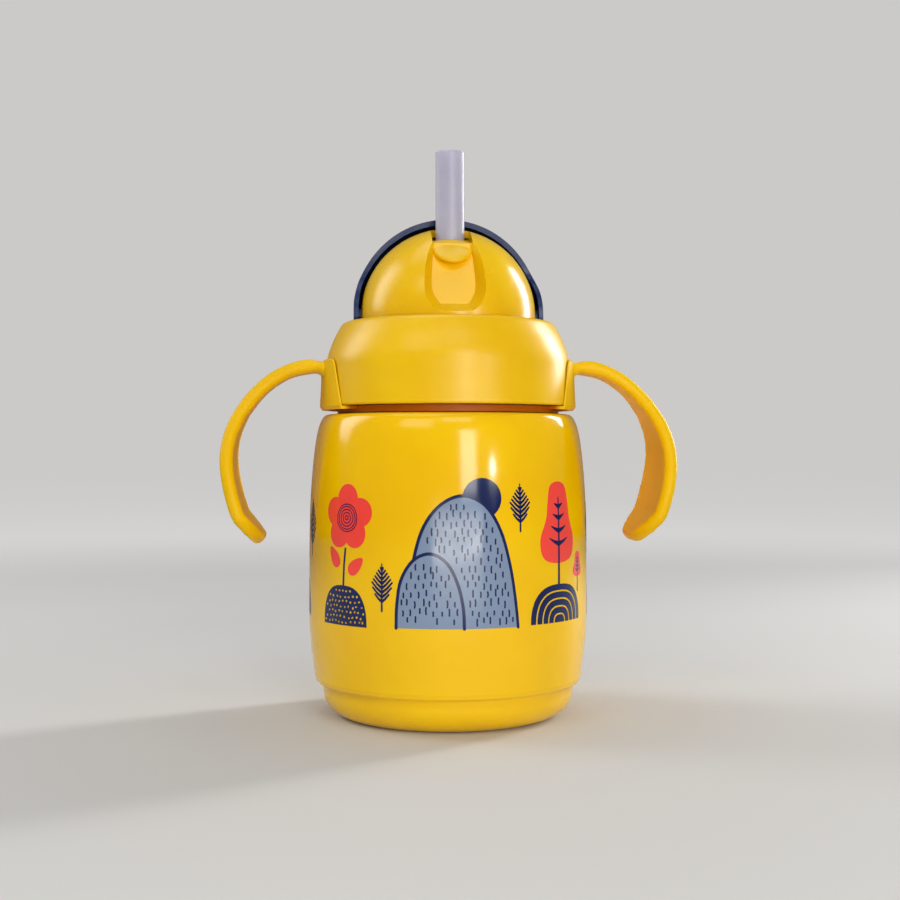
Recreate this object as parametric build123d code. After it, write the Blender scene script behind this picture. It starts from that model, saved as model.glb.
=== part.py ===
from build123d import *
import os

# Toddler's straw cup: double-wall cup, removable two-handle ring, screw collar and straw lid with flip cover.
# Millimetres. +Z is up, the front is -Y, the handles are on +X and -X.
# The origin is the centre of the underside of the foot.

# ---- cup -----------------------------------------------------------------------------------------
FOOT_R = 27.5            # flat the cup stands on
BASE_R = 35.6            # base cap at the step line
STEP_Z = 9.7             # top of the base cap
SHELL_FOOT_R = 37.6      # outer shell where it steps out over the base cap
BODY_R = 39.45           # widest part of the barrel
SHOULDER_Z = 85.0        # flat top of the shoulder
SHOULDER_R = 33.6        # where the shoulder turns flat
SHELL_WALL = 1.6
LINER_R = 35.2           # outside of the inner liner
LINER_WALL = 1.6
LINER_FLOOR_Z = 12.0     # underside of the liner's floor
NECK_R = 29.0
NECK_BORE_R = 27.0
RIM_Z = 99.4

# ---- screw thread between neck and collar --------------------------------------------------------
THREAD_LEAD = 5.0
THREAD_START_Z = 90.2
THREAD_DEPTH = 1.1
THREAD_ROOT_W = 2.2
THREAD_CREST_W = 1.1
NECK_TURNS = 1.05
COLLAR_TURNS = 0.9

# ---- screw collar --------------------------------------------------------------------------------
COLLAR_Z = 87.3          # bottom edge
COLLAR_R = 34.85         # outside, at the bottom edge
COLLAR_WAIST_R = 34.6    # outside, just below the rounded top
COLLAR_WAIST_Z = 99.0
COLLAR_TOP_Z = 111.1
COLLAR_MOUTH_R = 28.0
COLLAR_BORE_R = 30.9
LEDGE_Z = 103.3          # underside of the ledge that presses the lid down

# ---- handle ring ---------------------------------------------------------------------------------
RING_Z = 85.3
RING_T = 1.8
RING_BORE_R = 30.4
RING_R = 31.5
PAD_R = 36.5             # outside of the side pads at the bottom
PAD_TOP_R = 36.0
PAD_IN_R = 34.98
PAD_AXIS_X = 7.2         # the pads' outside turns about here, so they thin out towards their upright edges
PAD_Z = 86.2
PAD_TOP_Z = 100.3
PAD_W = 35.0             # width at the bottom
PAD_TOP_W = 26.0
PAD_CORNER_R = 3.0
WEB_T = 0.9              # thin web from the ring out to a pad
HANDLE_REACH = 64.0      # from the axis to the outside of a handle
HANDLE_T = 3.7
HANDLE_ROOT_W = 12.0
HANDLE_GRIP_W = 30.0
HANDLE_TIP_Z = 48.6
HANDLE_FLARE = 3.0       # extra width where a handle grows out of its pad
HANDLE_DROP = 2.4        # extra depth below the handle there
HANDLE_SECTIONS = 26
TIP_SHARE = 0.84         # of a handle's length, where its end begins to round off

# ---- straw lid -----------------------------------------------------------------------------------
DOME_R = 24.9
DOME_Z = 113.0           # centre of the dome, and the height of the cover's pivot axis
DOME_WALL = 2.0
FLANGE_R = 30.5
FLANGE_Z = 101.1
FLANGE_T = 2.0
SEAL_BORE_R = 26.0

# ---- flip cover ----------------------------------------------------------------------------------
COVER_R = 27.9           # at the top of the hood
COVER_WALL = 1.5
COVER_EAR_X = 26.9       # flat outside of each pivot ear
COVER_EAR_R = 4.2
COVER_EDGE_Y = 4.4       # leading edge, behind the pivot axis at pivot height
COVER_EDGE_BEND_Z = 20.0 # above the pivot, where the leading edge starts to sweep forward to the ear
COVER_EDGE_LEAN = 0.148  # forward lean of the leading edge above that, as a slope
COVER_TAIL_Z = 111.6
PIVOT_R = 2.3
PIVOT_FIT = 0.05

# ---- straw ---------------------------------------------------------------------------------------
STRAW_Y = -6.2
STRAW_W = 8.1            # across, along X
STRAW_D = 6.6            # front to back
STRAW_WALL = 1.3
STRAW_TOP_Z = 158.9
FOLD_Z = 134.2           # the straw folds forward at this height
STRAW_FIT = 0.25

# ---- front pocket of the dome, where the folded straw lies ---------------------------------------
WELL_W = 11.2
WELL_BACK = 1.4          # room behind the straw
WELL_Z = 132.2
LIP_R = DOME_R - 2.0     # the lip lies under the dome's surface by this much
LIP_W = 11.6
LIP_TOP_Z = 133.3
LIP_Z = 126.3            # lowest point of the lip's round edge
POCKET_MOUTH = [(4.6, 112.3), (8.5, 115.6), (9.7, 121.6), (10.4, 129.6), (11.1, 141.0)]
POCKET_FLARE = 25.0      # degrees, the walls' slope
POCKET_BACK_Y = -15.3    # the pocket's floor at the lip's lower edge
POCKET_LEAN = 20.5       # degrees the floor leans forward going down

# ---- valve, lower straw and weight ---------------------------------------------------------------
SOCKET_R = 9.4
SOCKET_BORE_R = 7.4
SOCKET_Z = 97.6
SOCKET_TOP_Z = 104.9
CHIMNEY_R = 6.2
VALVE_R = 6.9
VALVE_Z = 101.9
VALVE_T = 1.0
HOUSING_R = 9.2
HOUSING_Z = 96.2
NOZZLE_R = 2.9
NOZZLE_BORE_R = 1.6
NOZZLE_Z = 87.0
TUBE_R = 3.9
TUBE_BORE_R = 2.95
TUBE_TOP_Z = 95.8
TUBE_Z = 24.0
WEIGHT_R = 8.0
WEIGHT_Z = 15.8
WEIGHT_SPLIT_Z = 20.4
WEIGHT_TOP_Z = 31.0
CORE_R = 6.6
CORE_BORE_R = 4.8
CORE_Z = 21.2
CORE_TOP_Z = 29.4
CORE_GAP = 0.1
VENT_Z = 107.0
VENT_STEM_R = 1.1
VENT_CAP_R = 2.4

ALL_ROUND = 90.0         # tall enough to cut right through anything here

def lathe(outline):
    """Solid of revolution about Z of a closed outline drawn as (radius, height)."""
    return revolve(Plane.XZ * make_face(outline), Axis.Z)


def tube(outer_r, inner_r, low, high, centre_y=0.0):
    """Plain tube about a vertical axis."""
    ring = Circle(outer_r) - Circle(inner_r)
    return Pos(0, centre_y, low) * extrude(ring, high - low)


def rod(radius, low, high, centre_y=0.0):
    """Plain round bar about a vertical axis."""
    return Pos(0, centre_y, low) * extrude(Circle(radius), high - low)


def barrel_line(inset):
    """The barrel's side, from above the step line over the shoulder, moved in by inset."""
    points = [
        (SHELL_FOOT_R + 0.35 - inset, 11.4),
        (BODY_R - 0.28 - inset, 22.0),
        (BODY_R - inset, 36.0),
        (BODY_R - 0.5 - inset, 64.0),
        (BODY_R - 1.75 - inset, 77.0),
        (SHOULDER_R + 2.5 - inset, SHOULDER_Z - 1.8 - 0.5 * inset),
        (SHOULDER_R - inset, SHOULDER_Z - inset),
    ]
    return Spline(*points, tangents=[(0.10, 1.0), (-1.0, 0.0)])


def outer_shell():
    outer = barrel_line(0.0)
    inner = barrel_line(SHELL_WALL)
    neck_hole = NECK_R + 0.1
    top = Polyline(
        outer @ 1,
        (neck_hole, SHOULDER_Z),
        (neck_hole, SHOULDER_Z - SHELL_WALL),
        inner @ 1,
    )
    foot = Polyline(
        inner @ 0,
        (SHELL_FOOT_R - SHELL_WALL, STEP_Z + 1.0),
        (SHELL_FOOT_R - SHELL_WALL, STEP_Z),
        (SHELL_FOOT_R - 0.5, STEP_Z),
        (SHELL_FOOT_R, STEP_Z + 0.5),
        outer @ 0,
    )
    return lathe(outer + top + inner + foot)


def base_cap():
    """Dish that closes the double wall from below, with a spigot inside the shell."""
    rise = 7.5
    corner = EllipticalCenterArc((FOOT_R, rise), BASE_R - FOOT_R, rise, start_angle=-90, arc_size=90)
    spigot_r = SHELL_FOOT_R - SHELL_WALL - 0.1
    rest = Polyline(
        corner @ 1,
        (BASE_R + 0.4, STEP_Z),
        (spigot_r, STEP_Z),
        (spigot_r, STEP_Z + 2.0),
        (spigot_r - 1.4, STEP_Z + 2.0),
        (spigot_r - 1.4, STEP_Z - 1.5),
        (FOOT_R - 1.0, 2.4),
        (0, 2.4),
        (0, 0.8),
        (FOOT_R - 4.0, 0.8),
        (FOOT_R - 3.2, 0),
        corner @ 0,
    )
    return lathe(corner + rest)


def thread_ridge(root_r, crest_r, turns, start_angle):
    """One blunt helical ridge, from root_r to crest_r."""
    helix = Helix(THREAD_LEAD, THREAD_LEAD * turns, root_r)
    section = Plane(origin=helix @ 0, x_dir=(1, 0, 0), z_dir=helix % 0)
    depth = crest_r - root_r
    inward = -0.15 if depth > 0 else 0.15
    half_root = THREAD_ROOT_W / 2
    half_crest = THREAD_CREST_W / 2
    profile = Polyline(
        (inward, -half_root),
        (depth, -half_crest),
        (depth, half_crest),
        (inward, half_root),
        close=True,
    )
    ridge = sweep(section * make_face(profile), path=helix, is_frenet=True)
    return Pos(0, 0, THREAD_START_Z) * Rot(0, 0, start_angle) * ridge


def inner_liner():
    """Cup wall that holds the drink, with the threaded neck."""
    bend = 6.0
    top_r = SHOULDER_R - 4.4
    outside = Polyline(
        (0, LINER_FLOOR_Z),
        (LINER_R - bend, LINER_FLOOR_Z),
        (LINER_R, LINER_FLOOR_Z + bend),
        (LINER_R, 74.0),
        (top_r + 0.2, SHOULDER_Z - SHELL_WALL - 0.2),
        (NECK_R, SHOULDER_Z - SHELL_WALL - 0.2),
        (NECK_R, RIM_Z),
        (NECK_BORE_R, RIM_Z),
        (NECK_BORE_R, SHOULDER_Z - SHELL_WALL - 2.2),
        (LINER_R - LINER_WALL, 73.0),
        (LINER_R - LINER_WALL, LINER_FLOOR_Z + bend + 0.6),
        (LINER_R - bend - 0.6, LINER_FLOOR_Z + LINER_WALL),
        (0, LINER_FLOOR_Z + LINER_WALL),
        close=True,
    )
    ridge = thread_ridge(NECK_R, NECK_R + THREAD_DEPTH, NECK_TURNS, 0.0)
    return lathe(outside) + ridge


def grip_width(share):
    """Width of a handle at a share of its length: narrow at the root, a wide round paddle at the end."""
    swell = min(max((share - 0.22) / 0.56, 0.0), 1.0)
    width = HANDLE_ROOT_W + (HANDLE_GRIP_W - HANDLE_ROOT_W) * swell * swell * (3 - 2 * swell)
    flare = max(1 - share / 0.08, 0.0)
    return width * tip_round(share) + HANDLE_FLARE * flare * flare


def tip_round(share):
    """Falls from 1 along a quarter ellipse over the rounded end of the paddle."""
    past = max((share - TIP_SHARE) / (1.004 - TIP_SHARE), 0.0)
    return (1 - past * past) ** 0.5


def end_round(share):
    """Thickness factor that rounds off the last couple of millimetres."""
    past = max((share - 0.98) / 0.0206, 0.0)
    return (1 - past * past) ** 0.5


def handle_side(sign):
    """Curved handle, lofted through slot-shaped sections along its centre line."""
    reach = HANDLE_REACH - HANDLE_T / 2
    root_z = PAD_TOP_Z - HANDLE_T / 2
    centre = Spline(
        (PAD_IN_R - 0.4, root_z),
        (40.0, root_z),
        (46.2, 96.7),
        (reach - 5.4, 87.6),
        (reach - 0.2, 71.5),
        (reach - 3.0, 57.9),
        (reach - 9.6, HANDLE_TIP_Z + 0.8),
        tangents=[(1.0, 0.0), (-0.85, -1.0)],
    )
    path = Plane.XZ * centre
    sections = []
    for step in range(HANDLE_SECTIONS + 1):
        share = 1 - (1 - step / HANDLE_SECTIONS) ** 1.9
        drop = HANDLE_DROP * max(1 - share / 0.055, 0.0) ** 2
        thick = HANDLE_T * end_round(share) + drop
        where = Plane(origin=path @ share, x_dir=(0, 1, 0), z_dir=path % share)
        width = max(grip_width(share), 1.05 * thick)
        sections.append(where * Pos(0, -drop / 2) * SlotOverall(width, thick))
    arm = loft(sections) - rod(PAD_IN_R, RING_Z, COLLAR_TOP_Z)
    return arm if sign > 0 else mirror(arm, Plane.YZ)


def side_pad(sign):
    """Pad that hugs the collar and carries a handle, with a thin web in to the ring."""
    outline = Polyline(
        (PAD_R - PAD_AXIS_X - 0.6, PAD_Z),
        (PAD_R - PAD_AXIS_X, PAD_Z + 0.9),
        (PAD_R - PAD_AXIS_X - 0.25, 92.0),
        (PAD_TOP_R - PAD_AXIS_X, PAD_TOP_Z - 0.6),
        (PAD_TOP_R - PAD_AXIS_X - 0.5, PAD_TOP_Z),
        (0, PAD_TOP_Z),
        (0, PAD_Z),
        close=True,
    )
    hub = Pos(PAD_AXIS_X, 0, 0) * lathe(outline)
    face = Polyline(
        (-PAD_W / 2, PAD_Z),
        (PAD_W / 2, PAD_Z),
        (PAD_TOP_W / 2, PAD_TOP_Z),
        (-PAD_TOP_W / 2, PAD_TOP_Z),
        close=True,
    )
    window = make_face(face)
    window = fillet(window.vertices().group_by(Axis.Y)[-1], PAD_CORNER_R)
    beam = extrude(Plane.YZ * window, PAD_R + 1.0)
    pad = (hub & beam) - rod(PAD_IN_R, PAD_Z, PAD_TOP_Z)
    web = tube(PAD_IN_R + 0.3, RING_R - 0.2, PAD_Z, PAD_Z + WEB_T) & beam
    pad += web
    return pad if sign > 0 else mirror(pad, Plane.YZ)


def handle_ring():
    ring = tube(RING_R, RING_BORE_R, RING_Z, RING_Z + RING_T)
    for sign in (1, -1):
        ring += side_pad(sign)
        ring += handle_side(sign)
    return ring


def screw_collar():
    crown = Spline(
        (COLLAR_WAIST_R, COLLAR_WAIST_Z),
        (34.15, 102.0),
        (33.3, 104.4),
        (32.45, 106.5),
        (31.0, 109.2),
        (COLLAR_MOUTH_R + 0.6, COLLAR_TOP_Z),
        tangents=[(-0.02, 1.0), (-1.0, 0.12)],
    )
    wall = Polyline(
        crown @ 1,
        (COLLAR_MOUTH_R, COLLAR_TOP_Z - 0.6),
        (COLLAR_MOUTH_R, LEDGE_Z),
        (COLLAR_BORE_R, LEDGE_Z),
        (COLLAR_BORE_R, COLLAR_Z),
        (COLLAR_R - 0.4, COLLAR_Z),
        (COLLAR_R, COLLAR_Z + 0.4),
        crown @ 0,
    )
    ridge = thread_ridge(COLLAR_BORE_R, COLLAR_BORE_R - THREAD_DEPTH, COLLAR_TURNS, 180.0)
    return lathe(crown + wall) + ridge


def lid_seal():
    """Silicone ring between the neck's rim and the lid's flange."""
    return tube(NECK_R + 0.4, SEAL_BORE_R, RIM_Z, FLANGE_Z)


def straw_oval(grow=0.0):
    """The straw's oval section, larger all round by grow."""
    return Pos(0, STRAW_Y) * Ellipse(STRAW_W / 2 + grow, STRAW_D / 2 + grow)


def straw_piece(low, high):
    """A stretch of the hollow straw."""
    wall = straw_oval() - straw_oval(-STRAW_WALL)
    return Pos(0, 0, low) * extrude(wall, high - low)


def behind_floor():
    """Everything behind the pocket's leaning floor."""
    block = Pos(0, ALL_ROUND / 2, 0) * Box(ALL_ROUND, ALL_ROUND, 2 * ALL_ROUND)
    return Pos(0, POCKET_BACK_Y, LIP_Z) * Rot(-POCKET_LEAN, 0, 0) * block


def pocket_space():
    """Flared space for the folded straw, open at the front and bounded by the leaning floor."""
    right = Spline(*POCKET_MOUTH)
    left = mirror(right, Plane.YZ)
    mouth = Plane.XZ * make_face(right + Line(right @ 1, left @ 1) + left + Line(left @ 0, right @ 0))
    depth = 16.0
    space = extrude(mouth, -depth, taper=POCKET_FLARE)
    return Pos(0, -DOME_R, 0) * space - behind_floor()


def straw_well():
    """Slot round the straw, open upwards and to the front."""
    back = STRAW_Y + STRAW_D / 2 + WELL_BACK
    length = back + DOME_R
    slot = Pos(0, back - length / 2, WELL_Z + ALL_ROUND / 2) * Box(WELL_W, length, ALL_ROUND)
    return fillet(slot.edges().filter_by(Axis.Z).sort_by(Axis.Y)[-2:], 3.0)


def fold_lip():
    """Tongue that the straw folds over: flat on top, D-shaped from the front."""
    drop = LIP_TOP_Z - 2.2 - LIP_Z
    outline = Pos(0, LIP_TOP_Z - 2.2) * Ellipse(LIP_W / 2, drop)
    outline += Pos(0, LIP_TOP_Z - 1.1) * Rectangle(LIP_W, 2.2)
    front = POCKET_BACK_Y - 8.0
    back = STRAW_Y - STRAW_D / 2 - STRAW_FIT
    prism = Pos(0, front, 0) * (Plane.XZ * extrude(outline, front - back))
    lip = prism & (Pos(0, 0, DOME_Z) * Sphere(LIP_R))
    rim = lip.edges().filter_by(lambda e: e.center().Y < POCKET_BACK_Y - 1.0)
    return fillet(rim, 0.6)


def straw_dome():
    """Dome, flange, straw chimney and valve socket, moulded in one."""
    centre = Pos(0, 0, DOME_Z)
    dome = rod(DOME_R, FLANGE_Z, DOME_Z) + centre * Sphere(DOME_R)
    dome += rod(FLANGE_R, FLANGE_Z, FLANGE_Z + FLANGE_T)
    inner_r = DOME_R - DOME_WALL
    cavity = rod(inner_r, FLANGE_Z - 1.0, DOME_Z) + centre * Sphere(inner_r)
    below = Pos(0, 0, FLANGE_Z - ALL_ROUND / 2) * Box(ALL_ROUND, ALL_ROUND, ALL_ROUND)
    backing = Pos(0, DOME_WALL, 0) * behind_floor()
    pocket_block = Pos(0, -DOME_R / 2, DOME_Z + DOME_R / 2) * Box(2 * LIP_W, DOME_R, DOME_R)
    well_block = Pos(0, STRAW_Y, WELL_Z) * Box(WELL_W + 3.0, STRAW_D + 8.0, 5.0)
    filling = (pocket_block - backing) + well_block
    filling &= centre * Sphere(DOME_R - 0.5)
    body = dome - cavity - below + filling
    body += rod(CHIMNEY_R, SOCKET_TOP_Z, WELL_Z, STRAW_Y)
    body += rod(SOCKET_R, SOCKET_Z, SOCKET_TOP_Z + 1.5, STRAW_Y)
    body -= pocket_space()
    body -= straw_well()
    body += fold_lip()
    body -= rod(SOCKET_BORE_R, SOCKET_Z - 1.0, SOCKET_TOP_Z, STRAW_Y)
    body -= Pos(0, 0, SOCKET_Z) * extrude(straw_oval(STRAW_FIT), STRAW_TOP_Z - SOCKET_Z)
    for sign in (1, -1):
        bearing = Pos(sign * (DOME_R - 3.2), 0, DOME_Z) * Rot(0, 90, 0) * Cylinder(PIVOT_R + 1.6, 4.4)
        body += bearing & (centre * Sphere(DOME_R - 0.2))
        hole = Pos(sign * DOME_R, 0, DOME_Z) * Rot(0, 90, 0) * Cylinder(PIVOT_R + PIVOT_FIT, 6.6)
        body -= hole
    vent = Pos(0, DOME_R - 1.0, VENT_Z) * Rot(90, 0, 0) * Cylinder(VENT_STEM_R, 8.0)
    return body - vent


def cover_body(radius, flat_x):
    """Ball-like body turned about the X axis, with flat ends at +X and -X, centred on the pivot axis."""
    curve = ThreePointArc((flat_x, COVER_EAR_R), (0, radius), (-flat_x, COVER_EAR_R))
    ends = Polyline(curve @ 1, (-flat_x, 0), (flat_x, 0), curve @ 0)
    return revolve(make_face(curve + ends), Axis.X)


def hood_side():
    """Side view of the hood about its pivot, as (Y, Z): the leading edge sweeps forward into the ear."""
    top = ALL_ROUND / 2
    edge = Spline(
        (-COVER_EAR_R, 0),
        (COVER_EDGE_Y - 2.5, 12.0),
        (COVER_EDGE_Y - COVER_EDGE_LEAN * COVER_EDGE_BEND_Z, COVER_EDGE_BEND_Z),
        tangents=[(0, 1.0), (-COVER_EDGE_LEAN, 1.0)],
    )
    tail = COVER_TAIL_Z - DOME_Z
    slant = COVER_EAR_R * 0.5**0.5
    ear = ThreePointArc((0, -COVER_EAR_R), (-slant, -slant), (-COVER_EAR_R, 0))
    rest = Polyline(
        edge @ 1,
        (COVER_EDGE_Y - COVER_EDGE_LEAN * top, top),
        (top, top),
        (top, tail),
        (COVER_EAR_R * 0.93, tail),
        (0, -COVER_EAR_R),
    )
    return make_face(edge + rest + ear)


def flip_cover():
    """Quarter-ball hood with a flat round ear and an inward pin at each pivot."""
    inner_x = COVER_EAR_X - 1.2
    shell = cover_body(COVER_R, COVER_EAR_X) - cover_body(COVER_R - COVER_WALL, inner_x)
    kept = Pos(-ALL_ROUND / 2, 0, 0) * extrude(Plane.YZ * hood_side(), ALL_ROUND)
    hood = shell & kept
    pin_x = DOME_R - 2.7
    length = inner_x + 0.5 - pin_x
    for sign in (1, -1):
        hood += Pos(sign * (pin_x + length / 2), 0, 0) * Rot(0, 90, 0) * Cylinder(PIVOT_R, length)
    return Pos(0, 0, DOME_Z) * hood


def straw_tip():
    """Upper part of the silicone straw, above its fold line."""
    tip = straw_piece(FOLD_Z, STRAW_TOP_Z)
    return fillet(tip.edges().group_by(Axis.Z)[-1], 0.4)


def straw_base():
    """Lower part of the silicone straw, with the flange that is held in the valve socket."""
    seat = VALVE_Z + VALVE_T
    flange = Pos(0, STRAW_Y) * Circle(SOCKET_BORE_R - 0.1) - straw_oval(-STRAW_WALL)
    return straw_piece(seat, FOLD_Z) + Pos(0, 0, seat) * extrude(flange, SOCKET_TOP_Z - seat - 0.1)


def slit_valve():
    """Silicone disc with a cross-shaped slit."""
    disc = rod(VALVE_R, VALVE_Z, VALVE_Z + VALVE_T, STRAW_Y)
    for angle in (0, 90):
        slit = Pos(0, STRAW_Y, VALVE_Z) * Rot(0, 0, angle) * Box(4.0, 0.25, 4 * VALVE_T)
        disc -= slit
    return disc


def valve_housing():
    """Plug that closes the valve socket, with the nozzle for the lower straw."""
    plug = rod(HOUSING_R, HOUSING_Z, SOCKET_Z - 0.1, STRAW_Y)
    plug += rod(SOCKET_BORE_R - 0.15, HOUSING_Z, VALVE_Z, STRAW_Y)
    plug += rod(NOZZLE_R, NOZZLE_Z, HOUSING_Z, STRAW_Y)
    plug -= rod(SOCKET_BORE_R - 2.4, VALVE_Z - 2.6, VALVE_Z, STRAW_Y)
    return plug - rod(NOZZLE_BORE_R, NOZZLE_Z, VALVE_Z, STRAW_Y)


def vent_valve():
    """Silicone button pushed through the back of the dome's wall."""
    outside = DOME_R + 0.6
    stem_length = DOME_WALL + 2.2
    stem = Pos(0, outside - stem_length / 2, VENT_Z) * Rot(90, 0, 0) * Cylinder(VENT_STEM_R, stem_length)
    head = Pos(0, outside - 0.25, VENT_Z) * Rot(90, 0, 0) * Cylinder(VENT_CAP_R - 0.6, 0.5)
    flap = Pos(0, DOME_R - DOME_WALL - 0.75, VENT_Z) * Rot(90, 0, 0) * Cylinder(VENT_CAP_R, 0.8)
    return stem + head + flap


def straw_tube():
    """Flexible lower straw, from the nozzle down into the weight."""
    return tube(TUBE_R, TUBE_BORE_R, TUBE_Z, TUBE_TOP_Z, STRAW_Y)


def weight_casing():
    """Upper half of the weight's shell, with the pocket for the steel core."""
    casing = rod(WEIGHT_R, WEIGHT_SPLIT_Z, WEIGHT_TOP_Z, STRAW_Y)
    casing = fillet(casing.edges().group_by(Axis.Z)[-1], 2.0)
    casing -= rod(TUBE_R, TUBE_Z, WEIGHT_TOP_Z, STRAW_Y)
    casing -= rod(TUBE_BORE_R, WEIGHT_SPLIT_Z, TUBE_Z, STRAW_Y)
    pocket = tube(CORE_R + CORE_GAP, CORE_BORE_R - CORE_GAP, WEIGHT_SPLIT_Z, CORE_TOP_Z + CORE_GAP, STRAW_Y)
    return casing - pocket


def weight_cap():
    """Lower half of the weight's shell, with four inlets for the drink."""
    cap = rod(WEIGHT_R, WEIGHT_Z, WEIGHT_SPLIT_Z, STRAW_Y)
    cap = fillet(cap.edges().group_by(Axis.Z)[0], 2.4)
    cap -= rod(TUBE_BORE_R, WEIGHT_Z + 1.2, WEIGHT_SPLIT_Z, STRAW_Y)
    for angle in (0, 90):
        cap -= Pos(0, STRAW_Y, WEIGHT_Z) * Rot(0, 0, angle) * Box(3 * WEIGHT_R, 2.0, 3.6)
    spigot = tube(CORE_R, CORE_BORE_R, WEIGHT_SPLIT_Z, CORE_Z - CORE_GAP, STRAW_Y)
    return cap + spigot


def weight_core():
    """Stainless steel ring that keeps the straw's end in the drink."""
    return tube(CORE_R, CORE_BORE_R, CORE_Z, CORE_TOP_Z, STRAW_Y)


NODES = [
    outer_shell,
    base_cap,
    inner_liner,
    handle_ring,
    screw_collar,
    lid_seal,
    straw_dome,
    flip_cover,
    straw_tip,
    straw_base,
    slit_valve,
    valve_housing,
    vent_valve,
    straw_tube,
    weight_casing,
    weight_cap,
    weight_core,
]


def main():
    os.makedirs("parts", exist_ok=True)
    for node in NODES:
        export_step(node(), f"parts/{node.__name__}.step")


if __name__ == "__main__":
    main()
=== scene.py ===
import math
import random

import bmesh
import bpy
import numpy as np
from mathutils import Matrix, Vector, geometry


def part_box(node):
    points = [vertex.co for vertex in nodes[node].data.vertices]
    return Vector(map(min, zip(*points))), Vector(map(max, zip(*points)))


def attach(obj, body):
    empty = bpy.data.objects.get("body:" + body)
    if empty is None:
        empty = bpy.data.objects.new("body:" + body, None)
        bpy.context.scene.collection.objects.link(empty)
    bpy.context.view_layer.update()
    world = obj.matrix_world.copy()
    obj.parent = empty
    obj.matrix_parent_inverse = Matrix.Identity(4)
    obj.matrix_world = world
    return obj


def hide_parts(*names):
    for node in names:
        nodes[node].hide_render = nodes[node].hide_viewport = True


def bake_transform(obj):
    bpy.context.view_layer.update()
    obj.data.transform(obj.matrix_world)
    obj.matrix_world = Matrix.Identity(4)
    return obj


# Toddler's straw cup. Metres, +Z up, the front is -Y, the handles are on +X and -X.

MM = 0.001
SHADE_IN_R, SHADE_OUT_R = 32.8, 34.6     # where the painted groove shade fades out, by radius in millimetres
SHADE_LOW_Z, SHADE_HIGH_Z = 83.8, 84.8   # where it fades in, by height
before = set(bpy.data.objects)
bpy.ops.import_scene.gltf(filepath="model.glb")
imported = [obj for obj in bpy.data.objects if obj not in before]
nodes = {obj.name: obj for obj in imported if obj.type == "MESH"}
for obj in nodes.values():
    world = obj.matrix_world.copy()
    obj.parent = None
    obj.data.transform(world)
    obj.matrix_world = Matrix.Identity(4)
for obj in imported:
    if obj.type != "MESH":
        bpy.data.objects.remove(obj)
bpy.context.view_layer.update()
scene = bpy.context.scene
scene.view_settings.view_transform = "Standard"
random.seed(7)


# ---- small helpers for node materials ---------------------------------------------------------------


class Maker:
    """Builds one node material. Each call adds a node and returns it."""

    def __init__(self, name):
        self.material = bpy.data.materials.new(name)
        self.material.use_nodes = True
        self.tree = self.material.node_tree
        self.shader = self.tree.nodes["Principled BSDF"]
        self.place = self.add("ShaderNodeTexCoord").outputs["Object"]

    def add(self, kind, settings=None, **values):
        node = self.tree.nodes.new(kind)
        for key, value in (settings or {}).items():
            setattr(node, key, value)
        for key, value in values.items():
            self.put(node.inputs[key.replace("_", " ")], value)
        return node

    def put(self, socket, value):
        if isinstance(value, bpy.types.NodeSocket):
            self.tree.links.new(value, socket)
        else:
            socket.default_value = value

    def noise(self, scale, detail=3.0, roughness=0.55, stretch=None, distortion=0.0):
        """Noise by place on the object, in cycles per metre."""
        where = self.place
        if stretch:
            where = self.add("ShaderNodeMapping", Vector=where, Scale=stretch).outputs["Vector"]
        node = self.add(
            "ShaderNodeTexNoise",
            Vector=where,
            Scale=scale,
            Detail=detail,
            Roughness=roughness,
            Distortion=distortion,
        )
        return node.outputs["Fac"]

    def between(self, factor, low, high, start=0.0, end=1.0):
        """Number that goes from low to high as factor goes from start to end."""
        node = self.add("ShaderNodeMapRange", {"interpolation_type": "SMOOTHSTEP"}, Value=factor)
        for socket, value in zip(node.inputs[1:5], (start, end, low, high)):
            socket.default_value = value
        return node.outputs["Result"]

    def blend(self, factor, one, other):
        """Colour that goes from one to other."""
        node = self.add("ShaderNodeMix", {"data_type": "RGBA"})
        self.put(node.inputs[0], factor)
        self.put(node.inputs[6], one)
        self.put(node.inputs[7], other)
        return node.outputs[2]

    def painted_groove_shade(self):
        """Painted shade mask: 1 in the narrow groove between shoulder and collar, 0 elsewhere."""
        flat = self.add("ShaderNodeMapping", Vector=self.place, Scale=(1.0, 1.0, 0.0)).outputs["Vector"]
        reach = self.add("ShaderNodeVectorMath", {"operation": "LENGTH"}, Vector=flat).outputs["Value"]
        height = self.add("ShaderNodeSeparateXYZ", Vector=self.place).outputs["Z"]
        near = self.between(reach, 1.0, 0.0, SHADE_IN_R * MM, SHADE_OUT_R * MM)
        high = self.between(height, 0.0, 1.0, SHADE_LOW_Z * MM, SHADE_HIGH_Z * MM)
        both = self.add("ShaderNodeMath", {"operation": "MULTIPLY"})
        self.put(both.inputs[0], near)
        self.put(both.inputs[1], high)
        return both.outputs[0]

    def sum(self, *parts):
        total = parts[0]
        for part in parts[1:]:
            node = self.add("ShaderNodeMath", {"operation": "ADD"})
            self.put(node.inputs[0], total)
            self.put(node.inputs[1], part)
            total = node.outputs[0]
        return total

    def bump(self, height, distance, strength=1.0, normal=None):
        node = self.add("ShaderNodeBump", Height=height, Distance=distance, Strength=strength)
        if normal is not None:
            self.put(node.inputs["Normal"], normal)
        return node.outputs["Normal"]

    def set(self, **values):
        for key, value in values.items():
            self.put(self.shader.inputs[key.replace("_", " ")], value)


def rgb(red, green, blue):
    """Shader colour of a screen colour given as 0 to 255."""
    parts = []
    for part in (red, green, blue):
        share = part / 255
        parts.append(share / 12.92 if share <= 0.04045 else ((share + 0.055) / 1.055) ** 2.4)
    return (*parts, 1.0)


HAIRLINES = 0.04   # how much roughness a rubbed hairline adds


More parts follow.
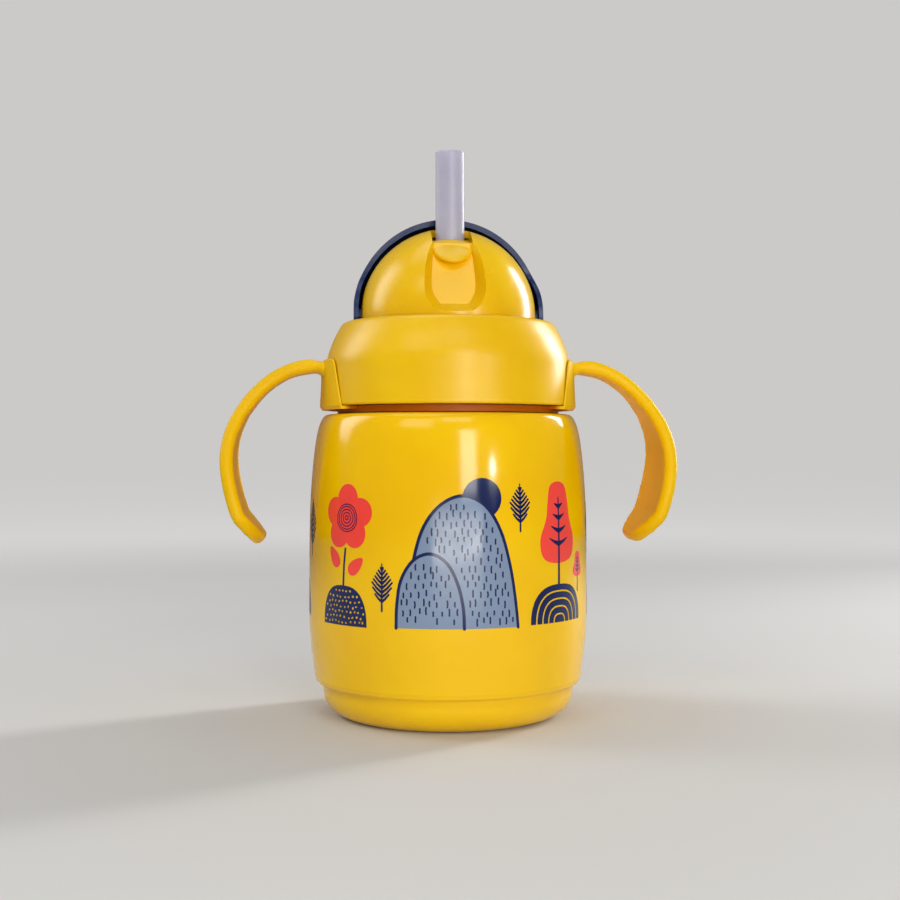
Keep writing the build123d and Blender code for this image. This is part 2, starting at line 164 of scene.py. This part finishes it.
def plastic(
    name, light, deep, gloss, rubbed, grain=0.0, waves=0.0, scatter=0.0, level=0.5, groove_shade=None
):
    """Moulded plastic: drifting colour, handled gloss, rubbed hairlines, moulded grain and flow waves, with
    optional painted shade in the groove under the collar.
    """
    m = Maker(name)
    drift = m.noise(32.0, 3.0)
    cloud = m.noise(11.0, 2.0)
    colour = m.blend(m.between(drift, 0.0, 1.0, 0.3, 0.7), light, deep)
    paler = tuple(min(1.0, part * 1.05 + 0.006) for part in light[:3]) + (1.0,)
    colour = m.blend(m.between(cloud, 0.0, 0.45, 0.42, 0.72), colour, paler)
    # painted shade: deep orange where shade falls in the groove between shoulder and collar
    if groove_shade:
        colour = m.blend(m.painted_groove_shade(), colour, groove_shade)
    smudge = m.noise(75.0, 5.0, 0.62, distortion=0.9)
    rough = m.between(smudge, gloss, rubbed, 0.38, 0.72)
    across = m.noise(260.0, 2.0, 0.5, stretch=(1.0, 1.0, 14.0))
    along = m.noise(240.0, 2.0, 0.5, stretch=(13.0, 13.0, 0.8))
    lines = m.sum(
        m.between(across, 0.0, HAIRLINES, 0.655, 0.7),
        m.between(along, 0.0, HAIRLINES, 0.67, 0.71),
    )
    rough = m.sum(rough, lines)
    normal = None
    if waves:
        normal = m.bump(m.noise(120.0, 2.0, 0.5), waves * MM)
    if grain:
        normal = m.bump(m.noise(2600.0, 3.0, 0.6), grain * MM, 1.0, normal)
    normal = m.bump(lines, -0.002 * MM, 1.0, normal)
    m.set(Base_Color=colour, Roughness=rough, Normal=normal, IOR=1.49, Specular_IOR_Level=level)
    if scatter:
        m.set(Subsurface_Weight=scatter, Subsurface_Radius=(1.0, 0.55, 0.15), Subsurface_Scale=1.6 * MM)
    return m.material


# ---- materials --------------------------------------------------------------------------------------

YELLOW = rgb(252, 202, 0)
YELLOW_DEEP = rgb(246, 191, 0)
SATIN = rgb(248, 200, 8)
SATIN_DEEP = rgb(240, 189, 2)
# painted shade colour for the groove under the collar, not the plastic's own colour
GROOVE_SHADE = rgb(186, 98, 0)

body_yellow = plastic(
    "body_yellow", YELLOW, YELLOW_DEEP, 0.12, 0.20, waves=0.010, scatter=0.05, level=0.42, groove_shade=GROOVE_SHADE
)
collar_yellow = plastic("collar_yellow", SATIN, SATIN_DEEP, 0.30, 0.38, grain=0.005, scatter=0.10, level=0.4)
handle_yellow = plastic(
    "handle_yellow", SATIN, SATIN_DEEP, 0.36, 0.44, grain=0.002, scatter=0.06, level=0.15, groove_shade=GROOVE_SHADE
)
dome_yellow = plastic("dome_yellow", SATIN, SATIN_DEEP, 0.20, 0.30, waves=0.006, scatter=0.12, level=0.4)
hood_navy = plastic("hood_navy", rgb(22, 42, 96), rgb(16, 33, 82), 0.30, 0.40, grain=0.006, level=0.35)
liner_white = plastic("liner_white", rgb(236, 234, 226), rgb(226, 224, 214), 0.25, 0.36, scatter=0.1)
ink_navy = plastic("ink_navy", rgb(4, 28, 88), rgb(2, 22, 74), 0.12, 0.22, waves=0.010)
ink_coral = plastic("ink_coral", rgb(255, 78, 66), rgb(252, 71, 59), 0.12, 0.22, waves=0.010)
ink_grey = plastic("ink_grey", rgb(131, 149, 176), rgb(123, 141, 169), 0.12, 0.22, waves=0.010)


def silicone(name, light, deep, clear):
    """Soft frosted silicone that lets light through."""
    m = Maker(name)
    cloud = m.noise(60.0, 3.0)
    colour = m.blend(m.between(cloud, 0.0, 1.0, 0.3, 0.7), light, deep)
    dust = m.noise(900.0, 4.0, 0.65)
    rough = m.between(dust, 0.30, 0.42, 0.35, 0.7)
    drawn = m.noise(700.0, 2.0, 0.5, stretch=(1.0, 1.0, 0.04))
    normal = m.bump(drawn, 0.012 * MM)
    normal = m.bump(dust, 0.006 * MM, 1.0, normal)
    m.set(Base_Color=colour, Roughness=rough, Normal=normal, IOR=1.41, Transmission_Weight=clear)
    m.set(Subsurface_Weight=0.5, Subsurface_Radius=(1.0, 0.95, 1.1), Subsurface_Scale=2.5 * MM)
    m.set(Sheen_Weight=0.15, Sheen_Roughness=0.5)
    return m.material


def steel(name):
    """Turned stainless steel."""
    m = Maker(name)
    rings = m.noise(2200.0, 2.0, 0.5, stretch=(0.05, 0.05, 1.0))
    rough = m.between(m.noise(140.0, 4.0), 0.22, 0.36, 0.3, 0.7)
    m.set(Base_Color=rgb(196, 196, 194), Metallic=1.0, Roughness=rough)
    m.set(Normal=m.bump(rings, 0.01 * MM))
    return m.material


straw_clear = silicone("straw_clear", rgb(214, 212, 228), rgb(204, 201, 222), 0.35)
seal_silicone = silicone("seal_silicone", rgb(214, 214, 216), rgb(204, 204, 208), 0.15)
core_steel = steel("core_steel")

FINISH = {
    "outer_shell": body_yellow,
    "base_cap": body_yellow,
    "inner_liner": liner_white,
    "handle_ring": handle_yellow,
    "screw_collar": collar_yellow,
    "straw_dome": dome_yellow,
    "valve_housing": dome_yellow,
    "flip_cover": hood_navy,
    "lid_seal": seal_silicone,
    "slit_valve": seal_silicone,
    "vent_valve": seal_silicone,
    "straw_tip": straw_clear,
    "straw_base": straw_clear,
    "straw_tube": straw_clear,
    "weight_casing": liner_white,
    "weight_cap": liner_white,
    "weight_core": core_steel,
}
for name, finish in FINISH.items():
    mesh = nodes[name].data
    mesh.materials.clear()
    mesh.materials.append(finish)


# ---- printed band: thin ink wrapped on the barrel ---------------------------------------------------


PRINT_LOW, PRINT_HIGH = 10.5, 84.0   # heights of the barrel wall that print can lie on, in millimetres


def barrel_profile():
    """Outside radius of the barrel by height, read from the CAD shell."""
    mesh = nodes["outer_shell"].data
    found = {}
    for face in mesh.polygons:
        outward = face.normal.x * face.center.x + face.normal.y * face.center.y
        if outward < 0.5 * math.hypot(face.center.x, face.center.y):
            continue
        for index in face.vertices:
            spot = mesh.vertices[index].co
            found[round(spot.z / MM, 3)] = math.hypot(spot.x, spot.y) / MM
    heights = sorted(h for h in found if PRINT_LOW < h < PRINT_HIGH)
    return np.array(heights), np.array([found[h] for h in heights])


HEIGHTS, RADII = barrel_profile()
WRAP_R = float(RADII.max())   # flat layouts are measured round the barrel's widest girth


def on_barrel(across, up, lift):
    """Place and surface normal of a point of the flat layout, in millimetres."""
    angle = across / WRAP_R
    radius = np.interp(up, HEIGHTS, RADII)
    slope = (np.interp(up + 1.0, HEIGHTS, RADII) - np.interp(up - 1.0, HEIGHTS, RADII)) / 2
    normal = np.stack([np.sin(angle), -np.cos(angle), -slope], -1)
    normal /= np.linalg.norm(normal, axis=-1, keepdims=True)
    place = np.stack([radius * np.sin(angle), -radius * np.cos(angle), up], -1)
    return (place + lift * normal) * MM, normal


def spline_point(p0, p1, p2, p3, t):
    """Point at share t of a smooth curve from p1 to p2."""
    return 0.5 * (
        2 * p1
        + (p2 - p0) * t
        + (2 * p0 - 5 * p1 + 4 * p2 - p3) * t**2
        + (3 * p1 - p0 - 3 * p2 + p3) * t**3
    )


def smooth_loop(points, steps=6):
    """Closed smooth curve through points."""
    points = np.array(points, float)
    before, after, later = np.roll(points, 1, 0), np.roll(points, -1, 0), np.roll(points, -2, 0)
    out = []
    for p0, p1, p2, p3 in zip(before, points, after, later):
        for t in np.arange(steps) / steps:
            out.append(spline_point(p0, p1, p2, p3, t))
    return np.array(out)


def open_curve(points, steps):
    """Smooth open curve through points."""
    points = np.array(points, float)
    ends = np.concatenate([[2 * points[0] - points[1]], points, [2 * points[-1] - points[-2]]])
    out = []
    for p0, p1, p2, p3 in zip(ends, ends[1:], ends[2:], ends[3:]):
        for t in np.arange(steps) / steps:
            out.append(spline_point(p0, p1, p2, p3, t))
    return np.array([*out, points[-1]])


def turned(x, y, across, up, turn):
    """Points x, y turned by degrees and set down at across, up."""
    c, s = math.cos(math.radians(turn)), math.sin(math.radians(turn))
    return np.stack([across + x * c - y * s, up + x * s + y * c], -1)


def disc(across, up, wide, tall=None, turn=0.0, steps=28):
    """Ellipse with half sizes wide and tall, turned by degrees."""
    tall = wide if tall is None else tall
    a = np.linspace(0, 2 * np.pi, steps, endpoint=False)
    return turned(wide * np.cos(a), tall * np.sin(a), across, up, turn)


def stroke(points, width, end_width=None):
    """Brush stroke along points, with round ends."""
    points = np.array(points, float)
    end_width = width if end_width is None else end_width
    step = np.gradient(points, axis=0)
    step /= np.linalg.norm(step, axis=1, keepdims=True)
    side = np.stack([-step[:, 1], step[:, 0]], -1)
    half = np.linspace(width, end_width, len(points))[:, None] / 2
    left, right = points + side * half, points - side * half
    cap = np.linspace(0, np.pi, 6)[1:-1, None]
    tip = points[-1] + half[-1] * (side[-1] * np.cos(cap) + step[-1] * np.sin(cap))
    tail = points[0] + half[0] * (-side[0] * np.cos(cap) - step[0] * np.sin(cap))
    return np.concatenate([left, tip, right[::-1], tail])


OUTLINE_STEP, HOLE_STEP = 1.1, 0.6   # longest edge round a motif and round a hole in it, in millimetres
GRID_ACROSS, GRID_UP = 1.3, 2.2      # spacing of the points that let the ink bend with the barrel


def divided(loop, longest=OUTLINE_STEP):
    """The same closed outline with no edge longer than longest."""
    out = []
    for a, b in zip(loop, np.roll(loop, -1, 0)):
        count = max(1, math.ceil(np.linalg.norm(b - a) / longest))
        out += [a + (b - a) * k / count for k in range(count)]
    return np.array(out)


def inside(spots, loop):
    """Which spots are inside a closed outline."""
    x, y = spots[:, 0], spots[:, 1]
    hit = np.zeros(len(spots), bool)
    for (ax, ay), (bx, by) in zip(loop, np.roll(loop, -1, 0)):
        if ay != by:
            crosses = ((ay > y) != (by > y)) & (x < (bx - ax) * (y - ay) / (by - ay) + ax)
            hit ^= crosses
    return hit


def covered(spots, shapes):
    """Which spots are inked by shapes, a list of (outline, [holes])."""
    hit = np.zeros(len(spots), bool)
    for outline, holes in shapes:
        low, high = outline.min(0), outline.max(0)
        near = np.flatnonzero(((spots >= low) & (spots <= high)).all(1))
        if len(near):
            here = inside(spots[near], outline)
            for hole in holes:
                here &= ~inside(spots[near], hole)
            hit[near] |= here
    return hit


def ink(name, shapes, material, lift):
    """One printed motif as a thin sheet of ink that follows the barrel."""
    shapes = [
        (divided(np.array(o)), [divided(np.array(h), HOLE_STEP) for h in holes]) for o, holes in shapes
    ]
    spots, edges = [], []
    for outline, holes in shapes:
        for loop in (outline, *holes):
            first = len(spots)
            spots += [Vector(p) for p in loop]
            edges += [(first + k, first + (k + 1) % len(loop)) for k in range(len(loop))]
    every = np.concatenate([o for o, _ in shapes])
    low, high = every.min(0), every.max(0)
    grid = np.stack(
        np.meshgrid(np.arange(low[0], high[0], GRID_ACROSS), np.arange(low[1], high[1], GRID_UP)), -1
    ).reshape(-1, 2)
    if len(grid):
        spots += [Vector(p) for p in grid[covered(grid, shapes)]]
    flat, _, faces, *_ = geometry.delaunay_2d_cdt(spots, edges, [], 0, 1e-5)
    flat = np.array([tuple(v) for v in flat])
    faces = np.array([tuple(f) for f in faces])
    faces = faces[covered(flat[faces].mean(1), shapes)]
    one, other = flat[faces[:, 1]] - flat[faces[:, 0]], flat[faces[:, 2]] - flat[faces[:, 0]]
    area = one[:, 0] * other[:, 1] - one[:, 1] * other[:, 0]
    faces[area < 0] = faces[area < 0][:, ::-1]
    faces = faces[np.abs(area) > 1e-7]
    used = np.unique(faces)
    renumber = np.zeros(len(flat), int)
    renumber[used] = np.arange(len(used))
    places, normals = on_barrel(flat[used, 0], flat[used, 1], lift)
    mesh = bpy.data.meshes.new(name)
    mesh.from_pydata(places.tolist(), [], renumber[faces].tolist())
    mesh.materials.append(material)
    mesh.shade_smooth()
    mesh.normals_split_custom_set_from_vertices(normals.tolist())
    piece = bpy.data.objects.new(name, mesh)
    scene.collection.objects.link(piece)
    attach(piece, "cup")
    return piece


UNDER, OVER = 0.030, 0.050   # how proud the first and second coat of ink stand, in millimetres


def flower(tag, across, up, size=1.0):
    """Five round petals with navy rings, a stem and two leaves."""
    petals = []
    for k in range(5):
        a = math.radians(18 + 72 * k)
        reach = size * (4.9 + 0.25 * math.sin(3.0 * k))
        x, y = across + reach * math.cos(a), up + reach * math.sin(a)
        petals.append((disc(x, y, 4.1 * size, 3.9 * size, 72 * k), []))
    petals.append((disc(across, up, 4.6 * size), []))
    petals.append((leaf_blob(across - 5.0 * size, up - 10.5 * size, 3.2 * size, 1.75 * size, 125), []))
    petals.append((leaf_blob(across + 3.4 * size, up - 12.6 * size, 3.2 * size, 1.75 * size, 40), []))
    ink(f"print_flower_petals_{tag}", petals, ink_coral, UNDER)
    lines = []
    for radius in (0.55, 1.45, 2.3, 3.1, 3.75):
        wobble = [
            (across + size * radius * (1 + 0.03 * math.sin(3 * a + radius)) * math.cos(a),
             up + size * radius * (1 + 0.03 * math.cos(2 * a)) * math.sin(a))
            for a in np.linspace(0, 2 * np.pi, 33)[:-1]
        ]
        ring = np.array(wobble)
        middle = ring.mean(0)
        lines.append((ring + (ring - middle) * 0.14 / radius, [ring - (ring - middle) * 0.14 / radius]))
    stem = [
        (across - 0.4, up - 8.2 * size),
        (across - 0.9, up - 12.5 * size),
        (across - 1.2, up - 18.2 * size),
    ]
    lines.append((stroke(stem, 0.7), []))
    ink(f"print_flower_lines_{tag}", lines, ink_navy, OVER)


def leaf_blob(across, up, long, wide, turn):
    """Pointed leaf."""
    a = np.linspace(0, 2 * np.pi, 24, endpoint=False)
    x = long * np.cos(a)
    y = wide * np.sin(a) * (1 - 0.35 * np.cos(a))
    return turned(x, y, across, up, turn)


def sprig(tag, across, low, high, half):
    """Pointed leaf drawn as a stem with straight slanting barbs."""
    shapes = [(stroke([(across, low), (across, (low + high) / 2), (across, high)], 0.55, 0.35), [])]
    foot = low + 0.20 * (high - low)
    count = 8
    for k in range(count):
        t = k / (count - 1)
        start = foot + (high - foot) * 0.84 * t
        spread = half * min(1.0, 0.62 + 1.5 * t) * min(1.0, 1.10 * (1.06 - t) ** 0.8)
        for side in (1, -1):
            tip = (across + side * spread, start + 0.80 * spread + 0.3)
            middle = (across + side * 0.5 * spread, start + 0.34 * spread + 0.1)
            shapes.append((stroke([(across, start), middle, tip], 0.78, 0.5), []))
    ink(f"print_sprig_{tag}", shapes, ink_navy, OVER)


def half_dome(across, low, half, tall, lean=0.0, steps=24):
    """Outline of a mound that stands on a level line."""
    a = np.linspace(0, np.pi, steps)
    x = half * np.sign(np.cos(a)) * np.abs(np.cos(a)) ** 0.72
    y = tall * np.sin(a) ** 0.85
    return np.stack([across + x + lean * y, low + y], -1)


def speckled_mound(tag, across, low, half, tall):
    """Navy mound with small speckles left open."""
    outline = half_dome(across, low, half, tall)
    speckles = []
    for row in range(int(tall / 1.35)):
        for column in range(-8, 9):
            x = across + column * 1.5 + (0.75 if row % 2 else 0.0) + random.uniform(-0.28, 0.28)
            y = low + 0.95 + row * 1.35 + random.uniform(-0.25, 0.25)
            dot = disc(x, y, random.uniform(0.26, 0.4), random.uniform(0.22, 0.34), random.uniform(0, 90), 8)
            room = disc(x, y, 0.75, 0.75, 0, 10)
            if inside(room, outline).all():
                speckles.append(dot)
    ink(f"print_mound_{tag}", [(outline, speckles)], ink_navy, OVER)


def ringed_mound(tag, across, low, half, tall):
    """Navy mound of nested arches."""
    shapes = []
    bands = 5
    for k in range(bands):
        outer = 1 - k / bands
        inner = outer - 0.80 / bands
        arch = half_dome(across, low, half * outer, tall * outer)
        gap = half_dome(across, low, half * inner, tall * inner)
        shapes.append((np.concatenate([arch, gap[::-1]]) if k < bands - 1 else arch, []))
    ink(f"print_arches_{tag}", shapes, ink_navy, OVER)


def tree(tag, across, low, high, foot, half):
    """Tall coral crown with a navy trunk and short branches."""
    span = high - low
    crown = smooth_loop(
        [
            (across, high),
            (across - 0.46 * half, high - 0.06 * span),
            (across - 0.60 * half, high - 0.26 * span),
            (across - 0.70 * half, high - 0.46 * span),
            (across - 1.00 * half, low + 0.28 * span),
            (across - 0.80 * half, low + 0.05 * span),
            (across, low - 0.01 * span),
            (across + 0.82 * half, low + 0.06 * span),
            (across + 1.00 * half, low + 0.30 * span),
            (across + 0.72 * half, high - 0.46 * span),
            (across + 0.62 * half, high - 0.26 * span),
            (across + 0.46 * half, high - 0.06 * span),
        ]
    )
    ink(f"print_tree_crown_{tag}", [(crown, [])], ink_coral, UNDER)
    wide = 0.09 * half + 0.25
    trunk = [(across, foot), (across, (foot + high) / 2), (across, high - 0.2 * span)]
    lines = [(stroke(trunk, wide, 0.5 * wide), [])]
    for share, reach in ((0.24, 0.52), (0.40, 0.42), (0.56, 0.32), (0.70, 0.24)):
        up = low + share * span
        for side in (1, -1):
            arm = [
                (across, up - 0.25 * wide),
                (across + side * 0.5 * reach * half, up + 0.10 * reach * half),
                (across + side * reach * half, up + 0.34 * reach * half),
            ]
            lines.append((stroke(arm, 1.5 * wide, 0.35 * wide), []))
    ink(f"print_tree_lines_{tag}", lines, ink_navy, OVER)


def hills(tag, across, low, scale=1.0, way=1):
    """Two overlapping grey-blue hills under rain-like dashes, with a navy sun behind the taller one."""

    def placed(points):
        points = np.array(points, float) * scale
        return np.stack([across + way * points[:, 0], low + points[:, 1]], -1)

    back = placed(
        open_curve(
            [(-13.6, 0), (-13.5, 9), (-12.4, 18), (-9.8, 26.4), (-5.2, 32.2), (0.6, 34.4), (6.4, 31.8),
             (10.6, 25.2), (13.2, 16.4), (14.7, 8), (15.6, 0)],
            5,
        )
    )
    near = placed(
        open_curve(
            [(-17.2, 0), (-17.0, 6), (-15.9, 12.4), (-12.6, 17.6), (-8.0, 19.4), (-3.6, 16.8), (-0.8, 11.2),
             (0.5, 5.4), (0.8, 0)],
            5,
        )
    )
    ink(f"print_hills_{tag}", [(back, []), (near, [])], ink_grey, UNDER)
    crest = back[~inside(back, near)]
    shapes = [(stroke(crest, 0.85 * scale), []), (stroke(near, 0.85 * scale), [])]
    sun = placed(disc(5.6, 33.7, 5.3))
    rim = back[inside(back, sun)]
    open_sky = ~inside(sun, back)
    first = int(np.flatnonzero(open_sky & ~np.roll(open_sky, 1))[0])
    sky = np.roll(sun, -first, 0)[: int(open_sky.sum())]
    if np.linalg.norm(rim[0] - sky[-1]) > np.linalg.norm(rim[-1] - sky[-1]):
        rim = rim[::-1]
    shapes.append((np.concatenate([sky, rim]), []))
    for row in range(15):
        for column in range(-10, 9):
            x = column * 2.0 + (1.0 if row % 2 else 0.0) + random.uniform(-0.4, 0.4)
            y = 1.9 + row * 2.3 + random.uniform(-0.6, 0.6)
            half = random.uniform(0.45, 0.85)
            drift = random.uniform(-0.12, 0.12)
            room = placed(disc(x, y, 1.2, 1.6, 0, 12))
            on_near = inside(room, near)
            if on_near.all() or (inside(room, back).all() and not on_near.any()):
                dash = placed([(x, y - half), (x + drift, y), (x, y + half)])
                shapes.append((stroke(dash, 0.45 * scale), []))
    ink(f"print_hills_lines_{tag}", shapes, ink_navy, OVER)


hills("front", 0.0, 28.8)
flower("left", -33.2, 57.0)
speckled_mound("left", -34.6, 28.4, 8.6, 10.6)
sprig("near_left", -21.3, 33.0, 45.3, 3.3)
sprig("near_right", 16.4, 53.8, 66.1, 3.3)
tree("right", 30.2, 45.0, 66.6, 38.6, 7.3)
ringed_mound("right", 30.4, 29.0, 10.8, 10.2)
tree("small_right", 40.4, 40.6, 47.4, 36.6, 2.9)
sprig("far_left", -53.6, 46.0, 61.5, 3.9)
sprig("far_right", 53.6, 46.0, 61.5, 3.9)
speckled_mound("far_right", 62.0, 28.4, 8.2, 10.0)
flower("far_right", 62.6, 55.6, 0.94)
tree("far_left", -66.0, 44.0, 65.0, 38.2, 7.0)
ringed_mound("far_left", -66.0, 29.0, 10.4, 9.8)
sprig("back_left", -82.0, 50.0, 63.0, 3.3)
sprig("back_right", 79.0, 34.0, 47.0, 3.3)
hills("back", 104.0, 28.8, 0.94, -1)
flower("back", -98.5, 57.0)
speckled_mound("back", -99.8, 28.4, 8.6, 10.6)


# ---- soft straw tubes ---------------------------------------------------------------------------------


TUBE_SIDES = 72
STRAW_WALL, LOWER_WALL = 1.3, 0.95   # millimetres


def soft_tube(name, rings, centre, replaced):
    """Closed skin through oval rings (height, half width, half depth) that go up outside and down inside."""
    mesh = bmesh.new()
    loops = []
    for height, half_x, half_y in rings:
        loop = []
        for a in np.linspace(0, 2 * math.pi, TUBE_SIDES + 1)[:-1]:
            place = (half_x * math.cos(a), centre + half_y * math.sin(a), height)
            loop.append(mesh.verts.new([part * MM for part in place]))
        loops.append(loop)
    for one, other in zip(loops, loops[1:] + loops[:1]):
        for k in range(TUBE_SIDES):
            after = (k + 1) % TUBE_SIDES
            mesh.faces.new((one[k], one[after], other[after], other[k]))
    bmesh.ops.recalc_face_normals(mesh, faces=mesh.faces)
    data = bpy.data.meshes.new(name)
    mesh.to_mesh(data)
    mesh.free()
    data.materials.append(straw_clear)
    data.shade_smooth()
    piece = bpy.data.objects.new(name, data)
    scene.collection.objects.link(piece)
    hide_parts(*replaced)
    return piece


def make_straw():
    """Upper straw with its flange at the foot and a rounded rim, built with close rings where the straw
    folds at the lid.
    """
    wall = STRAW_WALL
    base_low, base_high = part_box("straw_base")
    tip_low, tip_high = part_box("straw_tip")
    foot, top, flange = base_low.z / MM, tip_high.z / MM, base_high.x / MM
    wide, deep = (tip_high.x - tip_low.x) / 2 / MM, (tip_high.y - tip_low.y) / 2 / MM
    centre = (tip_high.y + tip_low.y) / 2 / MM
    fold_low, fold_high = 126.0, 143.0   # rings are close together here, where the straw folds
    heights = [
        *np.arange(foot + 2.2, fold_low, 3.0),
        *np.arange(fold_low, fold_high, 0.5),
        *np.arange(fold_high, top - 1.0, 2.0),
    ]
    rings = [(foot, flange, flange), (foot + 1.8, flange, flange), (foot + 1.9, wide + 0.3, deep + 0.3)]
    rings += [(height, wide, deep) for height in heights]
    for a in np.linspace(0, math.pi / 2, 7):
        shrink = 0.5 * (1 - math.cos(a))
        rings.append((top - 0.5 + 0.5 * math.sin(a), wide - shrink, deep - shrink))
    for a in np.linspace(math.pi / 2, 0, 6):
        grow = 0.4 * (1 - math.cos(a))
        rings.append((top - 0.4 + 0.4 * math.sin(a), wide - wall + grow, deep - wall + grow))
    rings += [(height, wide - wall, deep - wall) for height in [*heights[::-1], foot]]
    piece = soft_tube("straw", rings, centre, ["straw_tip", "straw_base"])
    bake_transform(piece)


def make_lower_tube():
    """Lower straw on the valve's nozzle, built with close rings below it where the tube bends as the weight
    swings.
    """
    low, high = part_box("straw_tube")
    centre = (low.y + high.y) / 2 / MM
    outside, bore = high.x / MM, high.x / MM - LOWER_WALL
    foot, top = low.z / MM, high.z / MM
    heights = [*np.arange(foot + 4.0, 68.0, 4.0), *np.arange(68.0, 91.0, 0.75), 93.0]
    rings = [(foot, outside, outside), *[(height, outside, outside) for height in heights]]
    rings += [(top - 0.2, outside, outside), (top, outside - 0.2, outside - 0.2)]
    rings.append((top, bore + 0.1, bore + 0.1))
    rings += [(height, bore, bore) for height in [top - 0.1, *heights[::-1], foot]]
    piece = soft_tube("lower_tube", rings, centre, ["straw_tube"])
    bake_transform(piece)


make_straw()
make_lower_tube()


# ---- camera, lights and floor -----------------------------------------------------------------------


def make_camera():
    distance, height, azimuth = 0.3953, 0.0758, math.radians(-5)
    aside, lowered = 0.00057, 0.00086   # small offsets of the point that the camera looks at
    data = bpy.data.cameras.new("camera")
    data.lens = 55.24
    data.sensor_width = 36.0
    data.clip_start = 0.01
    camera = bpy.data.objects.new("camera", data)
    scene.collection.objects.link(camera)
    camera.location = (math.sin(azimuth) * distance, -math.cos(azimuth) * distance, height)
    aim = Vector((aside * math.cos(azimuth), aside * math.sin(azimuth), height - lowered))
    camera.rotation_mode = "QUATERNION"
    camera.rotation_quaternion = (aim - camera.location).to_track_quat("-Z", "Y")
    scene.camera = camera


def soft_box(name, place, aim, wide, tall, power, colour=(1, 1, 1), spread=180):
    data = bpy.data.lights.new(name, "AREA")
    data.shape = "RECTANGLE"
    data.size, data.size_y = wide, tall
    data.energy = power
    data.color = colour
    data.spread = math.radians(spread)
    light = bpy.data.objects.new(name, data)
    scene.collection.objects.link(light)
    light.location = place
    light.rotation_mode = "QUATERNION"
    light.rotation_quaternion = (Vector(aim) - Vector(place)).to_track_quat("-Z", "Y")


PALE = (0.60, 0.59, 0.575, 1.0)   # tone of the distance, the same for floor and background

FLOOR_R = 6   # metres


def make_floor():
    """Wide pale floor whose far part fades into the background tone."""
    mesh = bmesh.new()
    turns = np.linspace(0, 2 * math.pi, 97)[:-1]
    mesh.faces.new(
        [mesh.verts.new((FLOOR_R * math.cos(a), FLOOR_R * math.sin(a), 0)) for a in turns]
    )
    data = bpy.data.meshes.new("floor")
    mesh.to_mesh(data)
    mesh.free()
    m = Maker("floor_paper")
    tone = m.between(m.noise(3.0, 2.0), 0.0, 1.0, 0.3, 0.7)
    reach = m.add("ShaderNodeVectorMath", {"operation": "LENGTH"}, Vector=m.place).outputs["Value"]
    seen = m.add("ShaderNodeLightPath").outputs["Is Camera Ray"]
    glow = m.add("ShaderNodeMath", {"operation": "MULTIPLY"})
    m.put(glow.inputs[0], m.between(reach, 0.0, 0.83, -0.1, 0.9))
    m.put(glow.inputs[1], seen)
    m.set(Base_Color=m.blend(tone, rgb(206, 204, 200), rgb(200, 198, 193)), Roughness=0.75)
    m.set(Emission_Color=PALE, Emission_Strength=glow.outputs[0])
    data.materials.append(m.material)
    floor = bpy.data.objects.new("floor", data)
    scene.collection.objects.link(floor)


def make_world():
    world = bpy.data.worlds.new("studio")
    scene.world = world
    world.use_nodes = True
    tree = world.node_tree
    glow = tree.nodes["Background"]
    glow.inputs["Color"].default_value = (0.86, 0.9, 1.0, 1.0)
    glow.inputs["Strength"].default_value = 0.18
    distance = tree.nodes.new("ShaderNodeBackground")
    distance.inputs["Color"].default_value = PALE
    path = tree.nodes.new("ShaderNodeLightPath")
    mix = tree.nodes.new("ShaderNodeMixShader")
    tree.links.new(path.outputs["Is Camera Ray"], mix.inputs[0])
    tree.links.new(glow.outputs[0], mix.inputs[1])
    tree.links.new(distance.outputs[0], mix.inputs[2])
    tree.links.new(mix.outputs[0], tree.nodes["World Output"].inputs["Surface"])


make_camera()
make_world()
make_floor()
soft_box("key", (-0.50, -0.70, 0.80), (0, 0, 0.07), 0.5, 0.4, 1.45, (1.0, 0.97, 0.92))
soft_box("window", (0.20, -0.96, 0.34), (0, 0, 0.08), 0.22, 0.42, 2.6)
soft_box("sky", (0.04, -0.64, 0.84), (0, 0, 0.08), 0.36, 0.26, 0.8, (0.95, 0.98, 1.0))
soft_box("sun", (0.52, -0.85, 0.23), (0, 0, 0.07), 0.035, 0.05, 0.8, (1.0, 0.98, 0.93))
soft_box("table", (0.02, -0.50, 0.035), (0, 0, 0.02), 0.34, 0.05, 0.5, (1.0, 0.96, 0.88))
soft_box("rim_right", (0.66, 0.40, 0.34), (0, 0, 0.09), 0.10, 0.5, 0.85, spread=70)
soft_box("rim_left", (-0.62, 0.22, 0.45), (0, 0, 0.1), 0.3, 0.5, 0.5, spread=90)
soft_box("top", (-0.10, 0.1, 0.9), (0, 0, 0.1), 0.7, 0.5, 1.6, (0.96, 0.98, 1.0))
